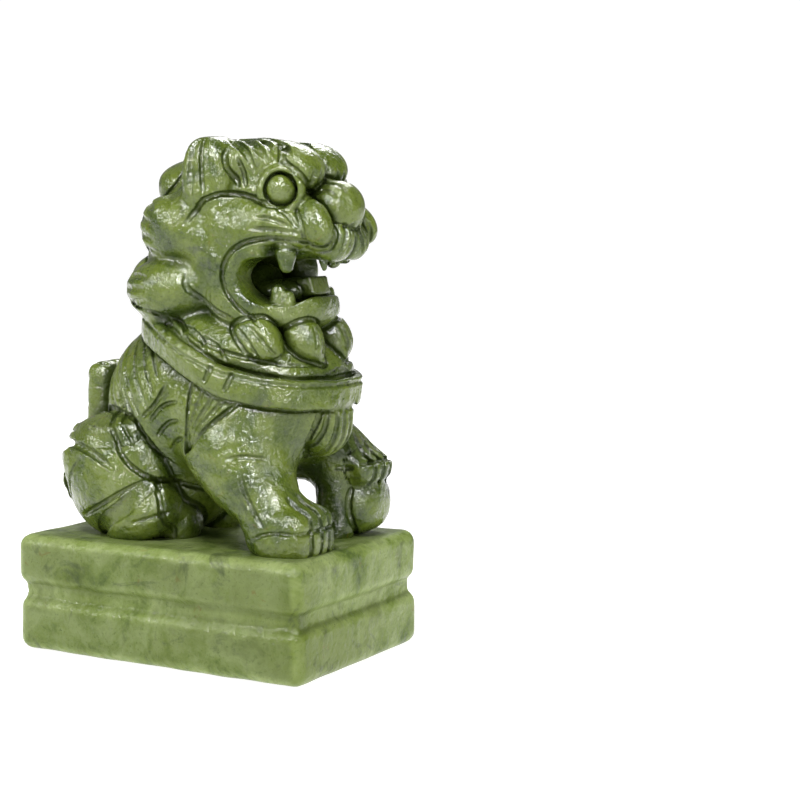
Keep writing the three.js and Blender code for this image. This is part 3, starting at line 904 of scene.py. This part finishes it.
# lines cut on both flanks of the head: (radius, depth, points as (x, z))
HEAD_CUTS = (
    # the lip's groove, from the jaw round the corner of the mouth to the nose
    (0.8, 1.0, ((22, 50), (17.8, 53.2), (14.6, 56.8), (13.4, 60.6), (14.8, 65), (18.8, 68.2), (24, 69.2),
                (30, 68.8), (34, 68))),
    # a second line on the upper lip
    (0.5, 0.4, ((22, 67.4), (27, 67.2), (32, 66.6))),
    # under the eye and over the cheek
    (0.9, 1.1, ((4.6, 72.6), (6.8, 75.6), (10, 78), (14.6, 79.2), (19, 78.4), (23, 76.8), (28, 76.4))),
    # behind the cheek
    (0.9, 0.7, ((3.6, 62), (4.4, 58), (9, 54), (14.6, 51.6))),
    # whisker folds
    (0.65, 0.6, ((20.6, 71.6), (26, 71.2), (30.8, 70.4))),
    (0.65, 0.6, ((21.6, 74), (25, 73.6), (29, 71.8))),
    (0.6, 0.5, ((25.4, 76), (28, 74.4), (30.6, 71.4))),
)
# hair swept over the brow
BROW_HAIR = (
    ((12.6, 11, 90.4), (16.6, 12, 88), (19.6, 13, 84.6)),
    ((13.6, 8.6, 92), (18.4, 10.6, 89), (23, 12, 85.4)),
    ((16.6, 7, 92), (21, 9.4, 89.6), (24.4, 10.8, 86.8)),
    ((19, 5, 92), (24, 7.8, 89.6), (27, 9, 87.2)),
    ((10, 5.6, 93), (14.6, 7, 92.4), (19.4, 7.6, 90.6)),
    ((12, 2.4, 93), (17, 3.4, 92.4), (22.6, 4, 90.4)),
)


def engrave_head(stone):
    for radius, depth, points in HEAD_CUTS:
        flank_cut(stone, points, radius=radius, depth=depth)
    for side in SIDES.values():
        at = placing(side)
        # the ear's flutes run down, and the curls' flutes run forwards from their tips
        for azimuth, wide in ((84, 0.8), (112, 1.2), (146, 0.9)):
            line = [(azimuth, 64), (azimuth, 40), (azimuth - 2, 10), (azimuth - 6, -26)]
            wrap_cut(stone, side, EAR, line, radius=wide, depth=0.85)
        for elevation in (40, 14, -12, -36):
            line = [(158, elevation + 3), (146, elevation + 2), (128, elevation - 3), (112, elevation - 9)]
            wrap_cut(stone, side, UPPER_CURL, line, radius=1.2, depth=0.7)
        for elevation in (26, 2, -22):
            line = [(152, elevation * 0.8), (140, elevation), (120, elevation), (98, elevation * 0.8)]
            wrap_cut(stone, side, LOWER_CURL, line, radius=1.1, depth=0.65)
        # the front of the ear
        flank_cut(stone, [(13.4, 89), (13.9, 85.6), (15.6, 81)], side, radius=1.0, depth=1.0)
        flank_cut(stone, [(16, 86.6), (16.8, 84), (17.4, 80.6)], side, radius=0.7, depth=0.6)
        for line in BROW_HAIR:
            stone.engrave([at(*p) for p in line], (0, -0.6 * side, -0.8), radius=1.15, depth=1.0, reach=8)
        # stripes on the brow's front curls
        for y in (2.6, 5, 7.4):
            stripe = [at(40, y, 90), at(40, y + 0.4, 81)]
            stone.engrave(stripe, (-0.8, 0, -0.6), radius=0.65, depth=0.6)
        # whiskers on the front lip
        for y in (1.4, 3.4, 5.4, 7.2):
            stone.engrave([at(45, y, 72.6), at(45, y + 1.8, 66)], FROM_FRONT, radius=0.65, depth=0.55)
    stone.engrave([(45, 0, 70), (45, 0, 62)], FROM_FRONT, radius=0.7, depth=0.6)
    # each back curl is fluted from its tip, with the middle flute the deepest
    for z, drop in ((85, 8.6), (74.6, 9.6), (61.4, 9.8)):
        for y, depth in ((-6.4, 0.6), (-3.3, 0.7), (0, 0.9), (3.3, 0.7), (6.4, 0.6)):
            line = [(-40, 0.55 * y, z), (-40, y, z - 0.5 * drop), (-40, 0.7 * y, z - drop)]
            stone.engrave(line, FROM_BACK, radius=0.9, depth=depth, reach=40)


# ---------- material ----------


class Nodes:
    """A few short cuts for building a material's nodes."""

    def __init__(self, name):
        self.material = bpy.data.materials.new(name)
        self.material.use_nodes = True
        self.tree = self.material.node_tree
        self.shader = self.tree.nodes["Principled BSDF"]

    def put(self, socket, value):
        if isinstance(value, bpy.types.NodeSocket):
            self.tree.links.new(value, socket)
        elif isinstance(value, tuple) and len(value) == 3 and socket.type == "RGBA":
            socket.default_value = (*value, 1)
        else:
            socket.default_value = value

    def node(self, kind, output=0, settings=None, **inputs):
        made = self.tree.nodes.new(f"ShaderNode{kind}")
        for key, value in (settings or {}).items():
            setattr(made, key, value)
        for key, value in inputs.items():
            self.put(made.inputs[int(key[1:]) if key[1:].isdigit() else key.replace("_", " ")], value)
        return made.outputs[output]

    def noise(self, place, scale, detail=4.0, rough=0.55, distortion=0.0):
        return self.node(
            "TexNoise", Vector=place, Scale=scale, Detail=detail, Roughness=rough, Distortion=distortion
        )

    def steps(self, value, *stops):
        """A colour ramp of (position, colour) stops."""
        ramp = self.tree.nodes.new("ShaderNodeValToRGB")
        ends = ramp.color_ramp.elements
        while len(ends) < len(stops):
            ends.new(0.5)
        for end, (position, colour) in zip(ends, stops):
            end.position = position
            end.color = (*colour, 1) if isinstance(colour, tuple) else (colour, colour, colour, 1)
        self.put(ramp.inputs[0], value)
        return ramp.outputs[0]

    def mix(self, share, a, b):
        return self.node("Mix", 2, {"data_type": "RGBA"}, _0=share, _6=a, _7=b)

    def plus(self, a, b):
        return self.node("Math", 0, {"operation": "ADD"}, _0=a, _1=b)

    def times(self, a, b):
        return self.node("Math", 0, {"operation": "MULTIPLY"}, _0=a, _1=b)

    def surface(self, **inputs):
        for key, value in inputs.items():
            self.put(self.shader.inputs[key.replace("_", " ")], value)


MILKY = (0.19, 0.24, 0.075)
YELLOW_GREEN = (0.13, 0.175, 0.018)
SMOKE = (0.036, 0.050, 0.026)
BLACK_GREEN = (0.008, 0.012, 0.007)
RUST = (0.22, 0.115, 0.02)
# the dark green painted into grooves and corners as shade
PAINTED_GROOVE_SHADE = (0.022, 0.038, 0.006)
LACQUER_ROUGHNESS, STONE_SHINE, REFRACTION = 0.04, 0.12, 1.5


def stone_material(name, pale, mid, deep, polish, ripple):
    """Mottled serpentine from three greens.

    polish is (roughness where smooth, where worn, weight of the lacquer), and ripple the bump's height in mm.
    """
    n = Nodes(name)
    place = n.node("TexCoord", 3)
    mm = n.node("VectorMath", 0, {"operation": "SCALE"}, Vector=place, Scale=1000.0)
    drift = n.noise(mm, 0.035, 3)
    clouds = n.noise(mm, 0.05, 6, 0.6, 1.2)
    patches = n.noise(mm, 0.17, 7, 0.68, 0.5)
    grain = n.noise(mm, 1.1, 4, 0.7)
    blend = n.plus(n.times(clouds, 0.62), n.times(patches, 0.38))
    colour = n.steps(blend, (0.38, deep), (0.46, mid), (0.55, pale), (0.66, MILKY))
    # warmer, yellower drifts
    colour = n.mix(n.steps(drift, (0.5, 0.0), (0.68, 0.55)), colour, YELLOW_GREEN)
    # the crystals' fine salt and pepper
    colour = n.mix(n.steps(grain, (0.52, 0.0), (0.74, 0.4)), colour, MILKY)
    colour = n.mix(n.steps(grain, (0.3, 0.5), (0.45, 0.0)), colour, deep)
    # smoky veins and black specks
    smoke = n.noise(mm, 0.07, 5, 0.62, 1.8)
    colour = n.mix(n.steps(smoke, (0.58, 0.0), (0.68, 0.5), (0.76, 0.85)), colour, SMOKE)
    specks = n.noise(mm, 0.42, 3, 0.6, 0.6)
    colour = n.mix(n.steps(specks, (0.72, 0.0), (0.78, 0.9)), colour, BLACK_GREEN)
    rust = n.noise(mm, 0.24, 4, 0.6, 1.2)
    colour = n.mix(n.steps(rust, (0.67, 0.0), (0.75, 0.5)), colour, RUST)
    # painted shade: grooves, creases and corners are darkened towards a dark green by how deeply they lie,
    # like occlusion
    hollow = n.node("Attribute", 2, {"attribute_name": "hollow"})
    shade = n.steps(hollow, (0.18, 0.0), (0.38, 0.38), (0.6, 0.72), (0.85, 0.82))
    colour = n.mix(shade, colour, PAINTED_GROOVE_SHADE)
    smooth, worn, coat = polish
    wear = n.plus(n.times(grain, 0.5), n.times(patches, 0.5))
    # ripples left by the wheel, under the lacquer's orange peel
    waves = n.noise(mm, 0.34, 3, 0.5, 0.4)
    peel = n.noise(mm, 1.0, 3, 0.6)
    height = n.plus(waves, n.times(peel, 0.34))
    height = n.plus(height, n.times(n.noise(mm, 3.2, 2), 0.06))
    bump = n.node("Bump", 0, None, Strength=1.0, Distance=ripple / 1000, Height=height)
    n.surface(
        Base_Color=colour,
        Roughness=n.steps(wear, (0.4, smooth), (0.62, worn)),
        IOR=REFRACTION,
        Specular_IOR_Level=STONE_SHINE,
        Coat_Weight=n.steps(hollow, (0.3, coat), (0.7, 0.15 * coat)),
        Coat_Roughness=LACQUER_ROUGHNESS,
        Coat_IOR=REFRACTION,
        Normal=bump,
        Coat_Normal=bump,
    )
    return n.material


# ---------- plinth ----------

PLINTH_WAVER = 0.35  # how far from true the plinth is cut, compared with the figure
TIER_EDGE, WAIST_EDGE = 3.0, 0.4  # mm, how far the edges are rounded
WAIST_GROWTH = (0.3, 0.3, 0.8)  # mm by which the waist runs into the tiers


def carve_plinth():
    (low_x, low_y, _), (high_x, high_y, _) = FIGURE_GRID
    sole = to_drawing(PLINTH_LOW)[2]
    stone = Stone(
        (low_x, low_y, sole - PLINTH_MARGIN), (high_x, high_y, PLINTH_MARGIN), PLINTH_VOXEL, PLINTH_WAVER
    )
    for node in ("plinth_lower_tier", "plinth_upper_tier", "plinth_waist"):
        a, b = node_box(node)
        if node == "plinth_waist":
            stone.add(node, slab((a + b) / 2, (b - a) / 2 + WAIST_GROWTH, WAIST_EDGE), blend=0.4)
            # the groove was hardly begun along the right side's front half
            shallow = blob((21, a[1] + 0.9, (a[2] + b[2]) / 2), (17, 1.9, 2.6))
            stone.add(node, shallow, blend=1.2)
        else:
            stone.add(node, slab((a + b) / 2, (b - a) / 2, TIER_EDGE), blend=0.3)
    return stone


# ---------- the scene ----------

figure_stone = stone_material(
    "figure_stone",
    pale=(0.136, 0.184, 0.018),
    mid=(0.072, 0.112, 0.006),
    deep=(0.024, 0.047, 0.002),
    polish=(0.22, 0.42, 1.0),
    ripple=0.65,
)
plinth_stone = stone_material(
    "plinth_stone",
    pale=(0.31, 0.385, 0.138),
    mid=(0.205, 0.275, 0.064),
    deep=(0.08, 0.128, 0.018),
    polish=(0.32, 0.5, 0.28),
    ripple=0.6,
)

lion = carve_lion()
for name, inset in zip(lion.names, insets(lion)):
    made = piece(name, lion, inset, figure_stone)
plinth = carve_plinth()
for name, inset in zip(plinth.names, insets(plinth)):
    made = piece(name, plinth, inset, plinth_stone)

# ---------- floor, light and camera ----------

FLOOR_REACH = 12.0  # m
FLOOR_GLOW = 0.94  # so that the floor stays white
WORLD_LIGHT, WORLD_SEEN = 0.2, 1.05  # the world's strength as light, and in the picture
MIDDLE = (0, 0, 0.06)  # m, where the lamps point
LAMPS = (  # name, place in m, size in m, power in W, whether it only shows in the polish
    ("key", (0.12, -0.32, 0.72), 0.18, 3.4, False),
    ("left", (-0.42, -0.5, 0.42), 0.16, 1.8, False),
    ("right", (0.7, -0.12, 0.36), 0.14, 1.35, False),
    ("back", (-0.2, 0.5, 0.6), 0.3, 3, False),
    ("glint_high", (0.34, -0.5, 0.6), 0.14, 8, True),
    ("glint_left", (-0.2, -0.74, 0.4), 0.1, 4, True),
    ("glint_low", (0.6, -0.6, 0.2), 0.08, 1.8, True),
)
CAMERA_PLACE, CAMERA_TARGET = (0.2457, -0.3455, 0.1015), (0.0494, 0, 0.06115)
CAMERA_ANGLE, SENSOR = 25, 36  # degrees across the picture, and mm


def add_floor():
    mesh = bpy.data.meshes.new("floor")
    r = FLOOR_REACH
    mesh.from_pydata([(-r, -r, 0), (r, -r, 0), (r, r, 0), (-r, r, 0)], [], [(0, 1, 2, 3)])
    floor = add_object("floor", mesh)
    paint = bpy.data.materials.new("floor_white")
    paint.use_nodes = True
    look = {
        "Base Color": (0.4, 0.4, 0.4, 1),
        "Roughness": 0.8,
        "Specular IOR Level": 0.0,
        "Emission Color": (1, 1, 1, 1),
        "Emission Strength": FLOOR_GLOW,
    }
    for key, value in look.items():
        paint.node_tree.nodes["Principled BSDF"].inputs[key].default_value = value
    mesh.materials.append(paint)


def aim(ob, place, target):
    ob.location = place
    ob.rotation_euler = (Vector(target) - Vector(place)).to_track_quat("-Z", "Y").to_euler()


def add_light(name, place, size, power, only_glossy):
    lamp = bpy.data.lights.new(name, "AREA")
    lamp.shape, lamp.size, lamp.energy = "SQUARE", size, power
    ob = add_object(name, lamp)
    aim(ob, place, MIDDLE)
    ob.visible_diffuse = not only_glossy


def add_world():
    """White to look at, and a softer white as light, so that the polish keeps its contrast."""
    world = bpy.data.worlds.new("studio")
    world.use_nodes = True
    tree = world.node_tree
    seen = tree.nodes.new("ShaderNodeLightPath").outputs["Is Camera Ray"]
    strength = tree.nodes.new("ShaderNodeMapRange")
    strength.inputs["To Min"].default_value = WORLD_LIGHT
    strength.inputs["To Max"].default_value = WORLD_SEEN
    tree.links.new(seen, strength.inputs["Value"])
    tree.links.new(strength.outputs["Result"], tree.nodes["Background"].inputs["Strength"])
    tree.nodes["Background"].inputs["Color"].default_value = (1, 1, 1, 1)
    bpy.context.scene.world = world


def add_camera():
    cam = bpy.data.cameras.new("camera")
    cam.sensor_width = SENSOR
    cam.lens = SENSOR / 2 / math.tan(math.radians(CAMERA_ANGLE) / 2)
    cam.clip_start, cam.clip_end = 0.01, 20
    ob = add_object("camera", cam)
    aim(ob, CAMERA_PLACE, CAMERA_TARGET)
    bpy.context.scene.camera = ob


add_floor()
for lamp in LAMPS:
    add_light(*lamp)
add_world()
add_camera()
bpy.context.scene.view_settings.view_transform = "Standard"
